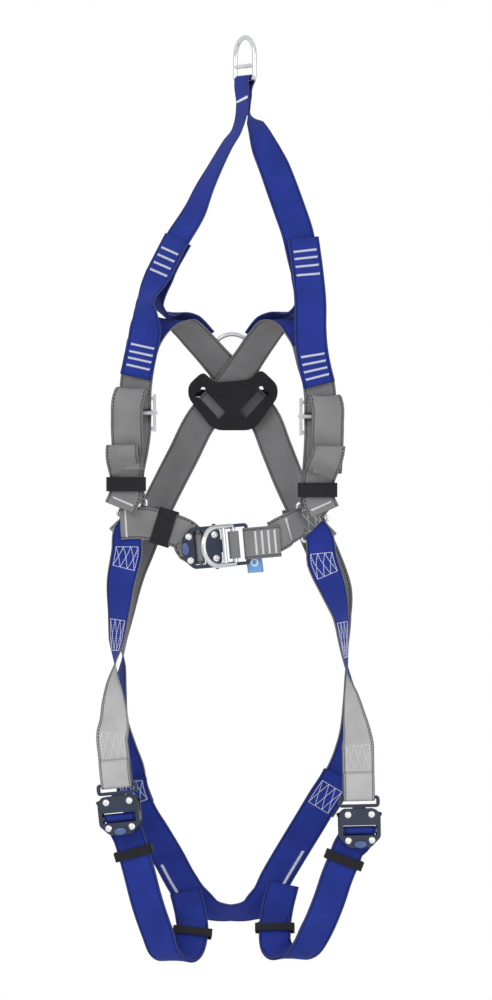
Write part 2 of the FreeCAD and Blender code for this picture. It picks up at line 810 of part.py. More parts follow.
def rivet(x, z):
    """A domed rivet through both plates."""
    shank = Part.makeCylinder(RIVET_R, 2 * (GAP + SHEET) + 0.4, Vector(x, -GAP - SHEET - 0.2, z), Vector(0, 1, 0))
    shape = shank
    for y, way in ((-GAP - SHEET - 0.1, -1), (GAP + SHEET + 0.1, 1)):
        ball = Part.makeSphere(6.2, Vector(x, y - way * 4.2, z))
        half = Part.makeBox(14, 4, 14, Vector(x - 7, y if way > 0 else y - 4, z - 7))
        shape = shape.fuse(ball.common(half))
    return shape


def tongue(bar_z, ladder):
    """The male half: head and neck, then a frame whose end is a round bar for the webbing."""
    half = BODY_WIDTH / 2.0
    low = 26.6
    plate = prism(rounded([(-9, 3.5), (9, 3.5), (9, 12), (6.2, 15), (6.2, 22), (9, 24), (9, low + 3),
                           (-9, low + 3), (-9, 24), (-6.2, 22), (-6.2, 15), (-9, 12)], 2),
                  -TONGUE_HALF, TONGUE_HALF)
    frame = prism(rounded([(-half, low), (half, low), (half, bar_z + 2.5), (-half, bar_z + 2.5)], 6),
                  -TONGUE_HALF, TONGUE_HALF)
    slot_low = low + 4.6
    slot = Part.makeBox(WEB_WIDTH + 3.4, 10, bar_z - slot_low + 6, Vector(-WEB_WIDTH / 2.0 - 1.7, -5, slot_low))
    frame = frame.cut(slot)
    bar = Part.makeCylinder(BAR_R, BODY_WIDTH - 6, Vector(-half + 3, 0, bar_z), Vector(1, 0, 0))
    frame = frame.fuse(bar).fuse(plate)
    if ladder:
        rung = Part.makeBox(WEB_WIDTH + 4, 2 * TONGUE_HALF, 6, Vector(-WEB_WIDTH / 2.0 - 2, -TONGUE_HALF, 40))
        frame = frame.fuse(rung)
    return frame


def ring_loop():
    """The sewn webbing loop that ties the front ring's base bar to the chest tongue's rung."""
    depth0 = RING_BAR_Y - RING_ROD / 2.0 - 0.6
    depth1 = TONGUE_HALF + 0.6
    outer = Part.makeBox(38, depth1 - depth0 + 3.2, 15.2, Vector(-19, depth0 - 1.6, 35.4))
    inner = Part.makeBox(40, depth1 - depth0, 12.0, Vector(-20, depth0, 37.0))
    edges = [e for e in outer.Edges if abs(e.tangentAt(0).x) > 0.9 and e.CenterOfMass.y < 0]
    outer = outer.makeFillet(5.0, edges)
    edges = [e for e in inner.Edges if abs(e.tangentAt(0).x) > 0.9 and e.CenterOfMass.y < 0]
    inner = inner.makeFillet(3.6, edges)
    return CHEST_FRAME.placed(outer.cut(inner))


# ---- adjusters and keepers ----------------------------------------------------------
def adjuster_frame(x, top):
    """Two cheeks joined by a top and a bottom bar; slots in the cheeks carry the sliding bar."""
    low = top - 42.0
    shape = None
    for side in (-1, 1):
        cheek = Part.makeBox(4.5, 7, 52, Vector(x + side * 27.0 - 2.25, ADJUSTER_Y - 3.5, low - 4))
        pocket = Part.makeBox(8, 4.6, 12.4, Vector(x + side * 27.0 - 4, ADJUSTER_Y - 2.3, top - 26.0))
        cheek = cheek.cut(pocket)
        shape = cheek if shape is None else shape.fuse(cheek)
    for z in (top, low):
        shape = shape.fuse(Part.makeCylinder(ADJUSTER_ROD, 54, Vector(x - 27, ADJUSTER_Y, z), Vector(1, 0, 0)))
    return shape


def adjuster_bar(x, top):
    """The sliding grip bar: a thick middle on flat ends that ride in the cheeks' slots."""
    middle = Part.makeCylinder(SLIDER_R, 48, Vector(x - 24, ADJUSTER_Y, top - 19.6), Vector(1, 0, 0))
    ends = Part.makeBox(62, 4.0, 4.4, Vector(x - 31, ADJUSTER_Y - 2.0, top - 21.8))
    return middle.fuse(ends)


def keeper(point, along, look, plies, height, width=WEB_WIDTH + 7.0):
    """A flat band round a stack of plies, centred on point."""
    deep = plies * PLY_STEP + 2 * KEEPER_CLEAR
    wide = width
    frame = Frame((0, 0, 0))
    frame.o = point
    frame.z = unit(along)
    frame.y = unit(look - frame.z * look.dot(frame.z)) * -1.0
    frame.x = frame.y.cross(frame.z)
    wall = KEEPER_WALL
    outer = Part.makeBox(wide + 2 * wall, deep + 2 * wall, height,
                         Vector(-wide / 2.0 - wall, -deep / 2.0 - wall, -height / 2.0))
    inner = Part.makeBox(wide, deep, height + 2, Vector(-wide / 2.0, -deep / 2.0, -height / 2.0 - 1))
    edges = [e for e in outer.Edges if abs(e.tangentAt(0).z) > 0.9]
    return frame.placed(outer.makeFillet(1.2, edges).cut(inner))


def keeper_on(rows, i, plies, height, inward):
    """A keeper on station i of a route, with the inner ply inward of it."""
    here = Vector(*rows[i][:3])
    along = Vector(*rows[i + 1][:3]) - Vector(*rows[i - 1][:3])
    look = looking(*rows[i][3:])
    return keeper(here + look * inward, along, look, plies, height)


def label_tag():
    """A small sewn tag under the right chest strap."""
    tag = Part.makeBox(22, 1.0, 26, Vector(-11, -0.5, -26))
    return Frame((13, -54.5, -704), roll=-4).placed(tag)


# ---- output -------------------------------------------------------------------------
def save(name, shape):
    shape.exportStep(os.path.join(OUT, name + ".step"))


def save_straps():
    save("rescue_strap", webbing(rescue_strap()))
    save("link_front_left", webbing(route(LINK_FRONT_LEFT)))
    save("link_front_right", webbing(route(LINK_FRONT_RIGHT)))
    save("link_rear_left", webbing(route(LINK_REAR_LEFT)))
    save("link_rear_right", webbing(route(LINK_REAR_RIGHT)))
    save("shoulder_strap_left", webbing(shoulder_strap(SHOULDER_LEFT, -153, -485.8)))
    save("shoulder_strap_right", webbing(shoulder_strap(SHOULDER_RIGHT, 105, -491.0)))
    save("seat_strap", webbing(route(SEAT)))
    save("hip_strap_left", webbing(hip_strap(HIP_LEFT, DELTA_LEFT, LEG_LEFT_FRAME)))
    save("hip_strap_right", webbing(hip_strap(HIP_RIGHT, DELTA_RIGHT, LEG_RIGHT_FRAME)))
    save("leg_strap_left", webbing(leg_strap(LEG_LEFT, LEG_LEFT_FRAME, 9, (6, 4, 12))))
    save("leg_strap_right", webbing(leg_strap(LEG_RIGHT, LEG_RIGHT_FRAME, 9, (-2, 4, 12))))
    save("adjuster_strap_left", webbing(load_strap(LOAD_LEFT, TAIL_END_LEFT, DELTA_LEFT)))
    save("adjuster_strap_right", webbing(load_strap(LOAD_RIGHT, TAIL_END_RIGHT, DELTA_RIGHT)))
    save("chest_strap_left", webbing(chest_strap_left()))
    save("chest_strap_right", webbing(chest_strap_right()))
    save("hip_loop_left", webbing(tongue_loop(LEG_LEFT_FRAME, LEG_TONGUE_BAR)))
    save("hip_loop_right", webbing(tongue_loop(LEG_RIGHT_FRAME, LEG_TONGUE_BAR)))
    save("chest_loop", webbing(tongue_loop(CHEST_FRAME, CHEST_TONGUE_BAR, CHEST_FRONT_MORE)))


def save_rings():
    save("rescue_ring", rescue_frame().placed(barred_ring()))
    save("front_ring", front_ring_frame().placed(barred_ring()))
    save("dorsal_ring", dorsal_ring())
    save("hip_ring_left", delta_ring(DELTA_LEFT))
    save("hip_ring_right", delta_ring(DELTA_RIGHT))
    save("dorsal_plate", dorsal_plate())
    save("ring_bracket", ring_bracket())


def save_buckles():
    rivets = []
    springs = []
    places = (
        ("leg_left", LEG_LEFT_FRAME, LEG_TONGUE_BAR, False),
        ("leg_right", LEG_RIGHT_FRAME, LEG_TONGUE_BAR, False),
        ("chest", CHEST_FRAME, CHEST_TONGUE_BAR, True),
    )
    for name, frame, bar_z, ladder in places:
        save(name + "_buckle_front", frame.placed(front_plate()))
        save(name + "_buckle_back", frame.placed(back_plate()))
        save(name + "_webbing_bar", frame.placed(webbing_bar()))
        save(name + "_tongue", frame.placed(tongue(bar_z, ladder)))
        for side, label in ((-1, "_lever_a"), (1, "_lever_b")):
            save(name + label, frame.placed(lever(side)))
            springs.append(frame.placed(lever_spring(side)))
            for z in (RIVET_LOW, RIVET_HIGH):
                rivets.append(frame.placed(rivet(side * RIVET_X, z)))
    save("buckle_rivets", Part.makeCompound(rivets))
    save("lever_springs", Part.makeCompound(springs))
    save("ring_loop", ring_loop())


def save_small():
    for name, x, top in (("left", -153, -485.8), ("right", 105, -491.0)):
        save("adjuster_frame_" + name, adjuster_frame(x, top))
        save("adjuster_bar_" + name, adjuster_bar(x, top))
    front = Vector(0, -1, 0)
    save("shoulder_keeper_left", keeper(Vector(-165.5, -47.3, -605), Vector(0, 0, 1), front, 3.3, 20, 52))
    save("shoulder_keeper_right", keeper(Vector(101, -47.3, -613), Vector(0, 0, 1), front, 3.3, 20, 52))
    save("chest_keeper", keeper(Vector(-112.5, -38, -665), Vector(-16, 4.4, 5), Vector(0, -1, 0), 2.3, 26, 49))
    half_step = -PLY_STEP / 2.0
    for name, rows in (("left", LEG_LEFT), ("right", LEG_RIGHT)):
        save("leg_keeper_upper_" + name, keeper_on(rows, 1, 2.2, 13, half_step))
        save("leg_keeper_lower_" + name, keeper_on(rows, 8, 3.2, 11, half_step))
    save("label_tag", label_tag())


def main():
    os.makedirs(OUT, exist_ok=True)
    save_straps()
    save_rings()
    save_buckles()
    save_small()


main()
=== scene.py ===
import json
import math

import bpy
from mathutils import Matrix, Vector


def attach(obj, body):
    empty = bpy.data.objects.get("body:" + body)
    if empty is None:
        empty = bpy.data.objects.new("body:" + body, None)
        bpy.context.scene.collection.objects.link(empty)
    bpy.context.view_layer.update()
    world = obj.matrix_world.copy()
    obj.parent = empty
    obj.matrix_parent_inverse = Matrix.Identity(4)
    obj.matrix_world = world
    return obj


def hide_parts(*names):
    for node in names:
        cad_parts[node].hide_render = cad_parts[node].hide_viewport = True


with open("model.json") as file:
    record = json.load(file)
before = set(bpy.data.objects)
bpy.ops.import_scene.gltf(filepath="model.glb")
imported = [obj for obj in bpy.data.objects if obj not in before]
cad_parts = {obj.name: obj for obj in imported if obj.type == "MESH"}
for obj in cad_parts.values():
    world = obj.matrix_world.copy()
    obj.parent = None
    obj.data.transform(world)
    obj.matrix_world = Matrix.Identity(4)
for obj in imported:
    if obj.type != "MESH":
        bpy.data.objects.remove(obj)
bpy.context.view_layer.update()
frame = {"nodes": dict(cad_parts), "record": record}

# The hanging safety harness's looks. Lengths are millimetres, as in the CAD model, and MM turns
# them into metres. Each strap is a ribbon along its route, with a face, a back and sewn edges.
# A route's row is x, y, z of the webbing's middle, then the turn and tip of its look in degrees.

MM = 0.001
WEB_WIDTH = 45.0
WEB_THICK = 2.1
PLY_STEP = 3.2
WRAP_GAP = 0.65
GATHERED = 40.0
IN_SLOT = 44.0
CORNERS = 17.0
LOOP_REACH = 34.0
CHEST_FRONT_MORE = 12.0
SEWN_BACK = 22.0
STRAP_FROM = 26.0
STRAP_STRAIGHT = 64.0
RING_ROD = 7.0
RING_BASE = -38.5
RESCUE_TURN = 60.0
DELTA_ROD = 4.5
DELTA_Y = -28.0
DELTA_LEFT = [(-138, -622), (-139, -688), (-181, -644)]
DELTA_RIGHT = [(72, -627), (80, -690), (119, -652)]
GAP = 6.0
SHEET = 2.5
BAR_Z = -5.0
BAR_R = 2.5
LOAD_PLY = 12.6
TAIL_PLY = LOAD_PLY + PLY_STEP
ADJUSTER_Y = -46.5
ADJUSTER_ROD = 2.5
ADJUSTER_LEFT = (-153, -485.8)
ADJUSTER_RIGHT = (105, -491.0)
FINE = 6                  # ribbon sections from one station to the next

# ---- frames and routes --------------------------------------------------------------


def looking(turn, tip=0.0):
    a = math.radians(turn)
    b = math.radians(tip)
    return Vector((math.sin(a) * math.cos(b), -math.cos(a) * math.cos(b), math.sin(b)))


def turned(v, axis, degrees):
    return Matrix.Rotation(math.radians(degrees), 3, Vector(axis)) @ Vector(v)


class Frame:
    """A local frame: x across, y away from the viewer, z along."""

    def __init__(self, origin, roll=0.0, turn=0.0, lie=False):
        x = Vector((0, 0, -1)) if lie else Vector((1, 0, 0))
        z = Vector((1, 0, 0)) if lie else Vector((0, 0, 1))
        self.o = Vector(origin)
        self.x = turned(turned(x, (0, 1, 0), -roll), (0, 0, 1), turn)
        self.z = turned(turned(z, (0, 1, 0), -roll), (0, 0, 1), turn)
        self.y = self.z.cross(self.x)

    def at(self, x, y, z):
        return self.o + self.x * x + self.y * y + self.z * z


RESCUE_UP = [
    (-120, -46, -314, -40),
    (-96, -44, -267, -42),
    (-70, -38, -224, -46),
    (-57, -34, -193, -54),
    (-42, -28, -163, -61),
    (-23, -20, -128, -66),
    (-12, -16, -111, -69),
    (-5, -11, -88, -68),
    (-3, -7.5, -66, -66),
]
RESCUE_DOWN = [
    (0.2, -6.1, -66, 114),
    (5, -6, -84, 95),
    (14, -9, -99, 60),
    (29, -15, -136, 30),
    (41, -22, -163, 16),
    (52, -28, -193, 6),
    (63, -33, -224, 2),
    (73, -38, -254, 6),
    (80, -42, -286, 12),
    (87, -44.5, -314, 12),
]
LINK_FRONT_LEFT = [
    (-95, -46.8, -262, -41),
    (-122, -49.4, -315, -40),
    (-136, -52, -343, -56),
    (-140, -55, -357, -54),
    (-139, -58, -375, -33),
    (-139, -58, -393, -4),
    (-144, -56.8, -420, 0),
    (-152, -56, -456, 0),
]
LINK_FRONT_RIGHT = [
    (81, -43.6, -262, 12),
    (88, -48.2, -315, 12),
    (91, -51, -354, 4),
    (91, -55, -389, -2),
    (93, -56.8, -417, 0),
    (98, -56.8, -445, 0),
    (103.5, -56, -467, 0),
]
LINK_REAR_LEFT = [
    (-91, -41, -265, 139),
    (-116, -42.4, -314, 139),
    (-123, -30, -345, 118),
    (-117, -15, -361, 100, 50),
    (-101, 3, -366, 140, 72),
    (-80, 18, -379, 180, 50),
    (-61, 34, -400, 180, 42),
]
LINK_REAR_RIGHT = [
    (77, -34.6, -265, 190),
    (86, -39.8, -314, 192),
    (83, -30, -345, 235),
    (74, -15, -361, 240, 50),
    (58, 3, -366, 215, 72),
    (34, 18, -380, 180, 50),
    (19, 33, -400, 180, 42),
]
SHOULDER_LEFT = [
    (-151, -47.2, -459, 0),
    (-145, -49.8, -423, 0),
    (-138, -47, -402, 0, 10),
    (-129, -39, -388, 0, 30),
    (-115, -23, -378, 0, 60),
    (-99, -5, -376, 20, 86),
    (-84, 10, -384, 180, 52),
    (-66, 26, -402, 180, 42),
    (-45, 48, -425, 180, 36),
    (-24, 61.8, -449, 180, 16),
    (-2, 66, -478, 180, 3),
    (26, 65, -510, 180),
    (44, 56, -554, 184),
    (62, 42, -599, 188),
    (80, 26, -638, 188),
    (97, 14, -673, 184),
    (115, 9, -715, 180),
    (129, 13, -753, 158),
    (136, 18, -788, 124),
    (140, 21, -837, 100),
    (144, 20, -872, 80),
    (148, 18, -907, 62),
    (150, 17, -945, 42),
    (148, 20, -972, 22),
    (140, 23.5, -1000, 10),
    (127, 27.9, -1026, 4),
    (114, 31.0, -1047, 0),
    (105, 33.5, -1061, -2),
]
SHOULDER_RIGHT = [
    (102, -47.2, -462, 0),
    (92, -49.8, -426, 0),
    (86, -47, -404, 0, 10),
    (77, -39, -389, 0, 30),
    (66, -23, -378, 0, 60),
    (51, -5, -375, -20, 86),
    (37, 10, -385, 180, 52),
    (24, 24, -401, 180, 42),
    (8, 43.2, -424, 180, 38),
    (-8, 55.9, -448, 180, 18),
    (-30, 59, -478, 180, 3),
    (-60, 59, -512, 180),
    (-87, 50, -564, 176),
    (-115, 36, -619, 172),
    (-132, 22, -655, 174),
    (-148, 13, -694, 178),
    (-164, 9, -736, 192),
    (-171, 8, -784, 225),
    (-172, 6, -823, 255),
    (-171, 3, -858, 280),
    (-175, 6, -893, 295),
    (-177, 12, -935, 308),
    (-171, 17.5, -975, 332),
    (-163, 23.0, -1004, 348),
    (-157.6, 27.6, -1033, 352),
    (-149, 31.0, -1057, 357),
]
SEAT = [
    (-160, 20.8, -1018, 350),
    (-158, 23, -1033, 352),
    (-147, 27, -1064, 0),
    (-126, 34, -1099, 5),
    (-106, 43, -1133, 8),
    (-90, 52, -1163, 10),
    (-71, 58.5, -1190, 8, -12),
    (-47, 64, -1205, 4, -48),
    (-20, 65.5, -1209, 0, -56),
    (7, 64, -1205, -4, -48),
    (28, 58.5, -1190, -8, -12),
    (43, 52, -1161, -10),
    (71, 42, -1113, -8),
    (92, 33, -1078, -4),
    (111, 27, -1046, 0),
    (124, 24.5, -1026, 4),
    (131, 22, -1013, 6),
]
HIP_LEFT = [
    (-165, -31, -702, -8),
    (-173, -28, -742, -25),
    (-176, -26, -784, -46),
    (-179, -25, -823, -60),
    (-181, -27, -858, -90),
    (-182, -34, -888, -120),
    (-182, -44, -914, -142),
    (-182, -54, -938, -158),
]
HIP_RIGHT = [
    (108, -31, -713, 10),
    (123, -29, -753, 36),
    (133, -29, -788, 60),
    (138, -29, -830, 73),
    (143, -29, -872, 90),
    (148, -34, -902, 114),
    (152, -44, -930, 134),
    (156, -54, -955, 154),
]
LEG_LEFT = [
    (-162, -50.5, -1096, -12),
    (-155, -49.5, -1118, -10),
    (-149, -47.5, -1140, -8),
    (-136, -42, -1190, -6),
    (-122, -31, -1232, -6, -10),
    (-112, -20, -1260, -14, -45),
    (-98, -3, -1271, -20, -85),
    (-80, 14, -1257, 190, -40),
    (-74, 23, -1234, 184, -12),
    (-76, 36, -1210, 182, -22),
    (-84, 50, -1178, 186, -18),
]
LEG_RIGHT = [
    (145, -50.5, -1110, 6),
    (138, -49.5, -1128, 8),
    (129, -47, -1150, 8),
    (117, -41, -1186, 6),
    (99, -32, -1229, 6, -10),
    (83, -20, -1257, 12, -45),
    (63, -3, -1268, 12, -85),
    (44, 14, -1253, 170, -40),
    (42, 24, -1228, 176, -12),
    (45, 35, -1204, 178, -20),
    (54, 46.5, -1167, 174, -14),
]
LOAD_LEFT = [
    (-160.3, -41.5, -627.5, 0),
    (-162, -45.2, -620, 0),
    (-163, -45.2, -594, 0),
    (-156, -49, -553, 0),
    (-153, -51.2, -529, 0),
    (-153, -49, -521, 0, 20),
    (-153, -42.5, -515, 0, 20),
    (-153, -40.8, -508, 0),
    (-153, -42.5, -501.5, 0, -40),
    (-153, -47, -499.3, 0, -75),
    (-153, -52.5, -495, 0, -45),
    (-153, -54.8, -488, 0),
    (-153, -56, -479, 0),
    (-155, -63, -473.5, 0, -90),
    (-161, -70, -483, 180),
    (-164, -71.5, -515, 180),
    (-163, -66, -552, 180),
    (-163, -60, -575, 180),
]
LOAD_RIGHT = [
    (97.5, -41, -634, 0),
    (99.5, -45.2, -626, 0),
    (101, -45.2, -602, 0),
    (104, -49, -558, 0),
    (105, -51.2, -534, 0),
    (105, -49, -526, 0, 20),
    (105, -42.5, -520, 0, 20),
    (105, -40.8, -513, 0),
    (105, -42.5, -506.7, 0, -40),
    (105, -47, -504.5, 0, -75),
    (105, -52.5, -500.2, 0, -45),
    (105, -54.8, -493.2, 0),
    (106, -57, -487, 0, -20),
    (109, -63, -483.5, 0, -90),
    (114, -70, -493, 180),
    (115, -71.5, -522, 180),
    (114, -66, -556, 180),
    (112, -60, -580, 180),
]
TAIL_END_LEFT = [
    (-165, -66, -572, 0),
    (-168, -71, -558, 0),
    (-170, -77, -551.5, 0, -90),
    (-171, -82, -560, 180),
    (-168, -64, -582, 180),
    (-166, -50.5, -592, 180),
    (-166, -49.2, -604, 180),
    (-167, -49.2, -620, 180),
    (-174, -53, -638, 180),
]
TAIL_END_RIGHT = [
    (113, -66, -576, 0),
    (115, -71, -561, 0),
    (117, -77, -553, 0, -90),
    (115, -82, -564, 180),
    (106, -66, -588, 180),
    (103, -51.5, -598, 180),
    (102, -49.2, -606, 180),
    (103, -49.2, -627, 180),
    (110, -53, -644, 180),
]
CHEST_LOAD = [
    (-127, -33.6, -661, 0),
    (-112, -36.2, -665, 0),
    (-96, -40.6, -670, 0),
    (-82, -46.2, -677, 0),
]
CHEST_TAIL = [
    (-82, -49.6, -677, 180),
    (-97, -44.3, -670, 180),
    (-113, -39.8, -664.5, 180),
    (-129, -37.5, -661, 180),
    (-150, -37.5, -659, 180),
    (-174, -37.5, -660, 180),
]
CHEST_RIGHT = [
    (70, -43.5, -662, 55),
    (63, -54, -666, 52),
    (57.5, -60.5, -669, 28),
    (50, -62, -673.5, 0),
    (43, -62, -677.5, 0),
    (36.5, -62, -679.5, 0),
]

LEG_LEFT_FRAME = Frame((-174, -63, -1063), roll=6, turn=-10)
LEG_RIGHT_FRAME = Frame((159, -63, -1081), roll=1, turn=6)
CHEST_FRAME = Frame((-58, -62, -693), roll=5, lie=True)
LEG_TONGUE_BAR = 40.5
CHEST_TONGUE_BAR = 61.5




# ---- ribbons ------------------------------------------------------------------------
def station(point, look, width=WEB_WIDTH):
    return (Vector(point), Vector(look).normalized(), width)


def route(rows, width=WEB_WIDTH):
    return [station(row[:3], looking(*row[3:]), width) for row in rows]


def wrap(centre, axis, start, sweep, radius, outer=1, width=WEB_WIDTH, steps=8):
    """Stations round a bar."""
    found = []
    for k in range(steps + 1):
        out = turned(start, axis, sweep * k / steps)
        found.append(station(centre + out * radius, out * outer, width))
    return found


def offset(stations, depth):
    return [(p + n * depth, n, w) for p, n, w in stations]


def flipped(stations):
    return [(p, -n, w) for p, n, w in reversed(stations)]


def slope(stations, i):
    """The route's direction at station i, leaning to the nearer neighbour's side."""
    here = stations[i][0]
    if i == 0:
        return (stations[1][0] - here).normalized()
    if i == len(stations) - 1:
        return (here - stations[i - 1][0]).normalized()
    before = here - stations[i - 1][0]
    after = stations[i + 1][0] - here
    lean = before * (after.length / before.length) + after * (before.length / after.length)
    return lean.normalized()


def smooth(stations, parts=FINE):
    found = []
    last = len(stations) - 1
    for i in range(last):
        p, n, width = stations[i]
        q, m, wide = stations[i + 1]
        span = (q - p).length
        leave = slope(stations, i) * span
        arrive = slope(stations, i + 1) * span
        for k in range(parts):
            s = k / parts
            point = p * (2 * s ** 3 - 3 * s ** 2 + 1) + leave * (s ** 3 - 2 * s ** 2 + s)
            point += q * (3 * s ** 2 - 2 * s ** 3) + arrive * (s ** 3 - s ** 2)
            found.append((point, n.lerp(m, s).normalized(), width * (1 - s) + wide * s))
    found.append(stations[-1])
    return found


def ribbon_outline():
    """The webbing's section: (across, lift, tone), where tone is 0 front, 1 back, 2 edge."""
    fractions = [-0.465, -0.4, -0.27, -0.135, 0.0, 0.135, 0.27, 0.4, 0.465]
    front = [(a, 0.5, 0) for a in fractions]
    front[0] = (front[0][0], 0.46, 0)
    front[-1] = (front[-1][0], 0.46, 0)
    right = [(0.492, 0.36, 2), (0.5, 0.0, 2), (0.492, -0.36, 2)]
    back = [(a, -lift, 1) for a, lift, tone in reversed(front)]
    left = [(-a, -lift, 2) for a, lift, tone in right]
    return front + right + back + left


OUTLINE = ribbon_outline()


class Ribbon:
    """A strap of webbing: its smoothed route, and the length run so far at each section."""

    def __init__(self, stations, thick=WEB_THICK):
        self.rows = smooth(stations)
        self.thick = thick
        self.run = [0.0]
        for a, b in zip(self.rows, self.rows[1:]):
            self.run.append(self.run[-1] + (b[0] - a[0]).length)
        self.length = self.run[-1]
        self.axes = []
        for i, (p, n, width) in enumerate(self.rows):
            t = slope(self.rows, i)
            across = n.cross(t).normalized()
            self.axes.append((across, t.cross(across), t))

    def place(self, i, across, lift):
        p, n, width = self.rows[i]
        x, up, t = self.axes[i]
        return p + x * (across * width) + up * (lift * self.thick)

    def on(self, run, across, face=1, proud=0.0):
        """A point on the strap's face, with the face's normal."""
        run = min(max(run, 0.0), self.length - 0.01)
        i = max(k for k, r in enumerate(self.run[:-1]) if r <= run)
        s = (run - self.run[i]) / max(self.run[i + 1] - self.run[i], 1e-6)
        lift = 0.5 * face
        a = self.place(i, across / WEB_WIDTH, lift)
        b = self.place(i + 1, across / WEB_WIDTH, lift)
        normal = self.axes[i][1].lerp(self.axes[i + 1][1], s).normalized() * face
        return a.lerp(b, s) + normal * proud, normal

    def near(self, x, z, since=0.0, until=1.0):
        """The run at which the strap's middle passes nearest to (x, z) in the front view."""
        best = None
        for i, (a, b) in enumerate(zip(self.rows, self.rows[1:])):
            if not since * self.length <= self.run[i] <= until * self.length:
                continue
            dx, dz = b[0].x - a[0].x, b[0].z - a[0].z
            along = ((x - a[0].x) * dx + (z - a[0].z) * dz) / max(dx * dx + dz * dz, 1e-9)
            along = min(max(along, 0.0), 1.0)
            gap = math.hypot(a[0].x + dx * along - x, a[0].z + dz * along - z)
            if best is None or gap < best[0]:
                best = (gap, self.run[i] + along * (self.run[i + 1] - self.run[i]))
        return best[1]

    def right_is(self, run):
        """1 if the strap's across direction points to +X there, else -1."""
        i = max(k for k, r in enumerate(self.run) if r <= run)
        return 1.0 if self.axes[i][0].x > 0 else -1.0


def mesh_object(name, verts, faces, tones=None, uvs=None):
    mesh = bpy.data.meshes.new(name)
    mesh.from_pydata([tuple(v * MM) for v in verts], [], faces)
    mesh.polygons.foreach_set("use_smooth", [True] * len(faces))
    if tones:
        mesh.polygons.foreach_set("material_index", tones)
    if uvs:
        layer = mesh.uv_layers.new(name="flat")
        layer.data.foreach_set("uv", [c for uv in uvs for c in uv])
    obj = bpy.data.objects.new(name, mesh)
    bpy.context.scene.collection.objects.link(obj)
    return obj


def ribbon_mesh(name, ribbon, front, back, edge):
    """The closed mesh of a strap, its uv in widths: u across and v along."""
    count = len(OUTLINE)
    verts = []
    for i in range(len(ribbon.rows)):
        for across, lift, tone in OUTLINE:
            verts.append(ribbon.place(i, across, lift))
    faces = []
    tones = []
    uvs = []
    for i in range(len(ribbon.rows) - 1):
        v0 = ribbon.run[i] / WEB_WIDTH
        v1 = ribbon.run[i + 1] / WEB_WIDTH
        for k in range(count):
            j = (k + 1) % count
            a, b = OUTLINE[k], OUTLINE[j]
            faces.append((i * count + k, (i + 1) * count + k, (i + 1) * count + j, i * count + j))
            tones.append(a[2] if a[2] == b[2] else 2)
            uvs += [(a[0] + 0.5, v0), (a[0] + 0.5, v1), (b[0] + 0.5, v1), (b[0] + 0.5, v0)]
    for start, order in ((0, range(count)), ((len(ribbon.rows) - 1) * count, reversed(range(count)))):
        faces.append(tuple(start + k for k in order))
        tones.append(2)
        uvs += [(0.5, 0.0)] * count
    obj = mesh_object(name, verts, faces, tones, uvs)
    for material in (front, back, edge):
        obj.data.materials.append(material)
    return obj


# ---- threads ------------------------------------------------------------------------
class Threads:
    """Stitches gathered into one mesh: each is a short bead that lies on the webbing."""

    def __init__(self):
        self.verts = []
        self.faces = []

    def stitch(self, p, q, normal, wide=0.75, high=0.6):
        along = q - p
        if along.length < 0.2:
            return
        side = normal.cross(along).normalized() * wide
        up = normal * high
        base = len(self.verts)
        for t, size in ((0.0, 0.35), (0.25, 1.0), (0.75, 1.0), (1.0, 0.35)):
            c = p + along * t
            for s, u in ((-1, -0.5), (0, 1), (1, -0.5)):
                self.verts.append(c + side * (s * size) + up * (u * size))
        for k in range(3):
            for i in range(3):
                j = (i + 1) % 3
                a = base + 3 * k
                self.faces.append((a + i, a + j, a + 3 + j, a + 3 + i))
        self.faces.append((base, base + 2, base + 1))
        self.faces.append((base + 9, base + 10, base + 11))

    def path(self, ribbon, points, face, step=3.2):
        """Stitches along straight runs between (run, across) points on a face."""
        for (r0, a0), (r1, a1) in zip(points, points[1:]):
            count = max(1, round(math.hypot(r1 - r0, a1 - a0) / step))
            for k in range(count):
                s0 = (k + 0.04) / count
                s1 = (k + 0.96) / count
                p, n = ribbon.on(r0 + (r1 - r0) * s0, a0 + (a1 - a0) * s0, face, 0.1)
                q, m = ribbon.on(r0 + (r1 - r0) * s1, a0 + (a1 - a0) * s1, face, 0.1)
                self.stitch(p, q, n)

    def zigzag(self, ribbon, run, face, half=16.5, tall=1.9, teeth=10):
        """A row of zigzag stitches across the strap."""
        points = []
        for k in range(2 * teeth + 1):
            points.append((run + (tall if k % 2 else -tall), -half + half * k / teeth))
        self.path(ribbon, points, face, 6.0)

    def box(self, ribbon, r0, r1, face, a0=-16.0, a1=16.0, cells=3):
        """A sewn box filled with two crossing zigzags."""
        self.path(ribbon, [(r0, a0), (r0, a1), (r1, a1), (r1, a0), (r0, a0)], face)
        for first, second in ((r0, r1), (r1, r0)):
            points = []
            for k in range(cells + 1):
                points.append((first if k % 2 == 0 else second, a0 + (a1 - a0) * k / cells))
            self.path(ribbon, points, face)

    def tack(self, ribbon, r0, r1, across, face, half=2.4, pitch=1.5):
        """A dense bar tack that runs along the strap."""
        points = []
        count = max(2, int(abs(r1 - r0) / pitch))
        for k in range(count + 1):
            points.append((r0 + (r1 - r0) * k / count, across + (half if k % 2 else -half)))
        self.path(ribbon, points, face, 6.0)

    def bar(self, ribbon, run, face, half=15.0, tall=1.6, pitch=1.5):
        """A dense bar tack across the strap."""
        count = int(2 * half / pitch)
        points = []
        for k in range(count + 1):
            points.append((run + (tall if k % 2 else -tall), -half + 2 * half * k / count))
        self.path(ribbon, points, face, 6.0)

    def finish(self, name, material, body):
        obj = mesh_object(name, self.verts, self.faces)
        obj.data.materials.append(material)
        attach(obj, body)
        return obj


# ---- the straps' whole routes -------------------------------------------------------
def rod_wrap(radius):
    return radius + WRAP_GAP + WEB_THICK / 2.0


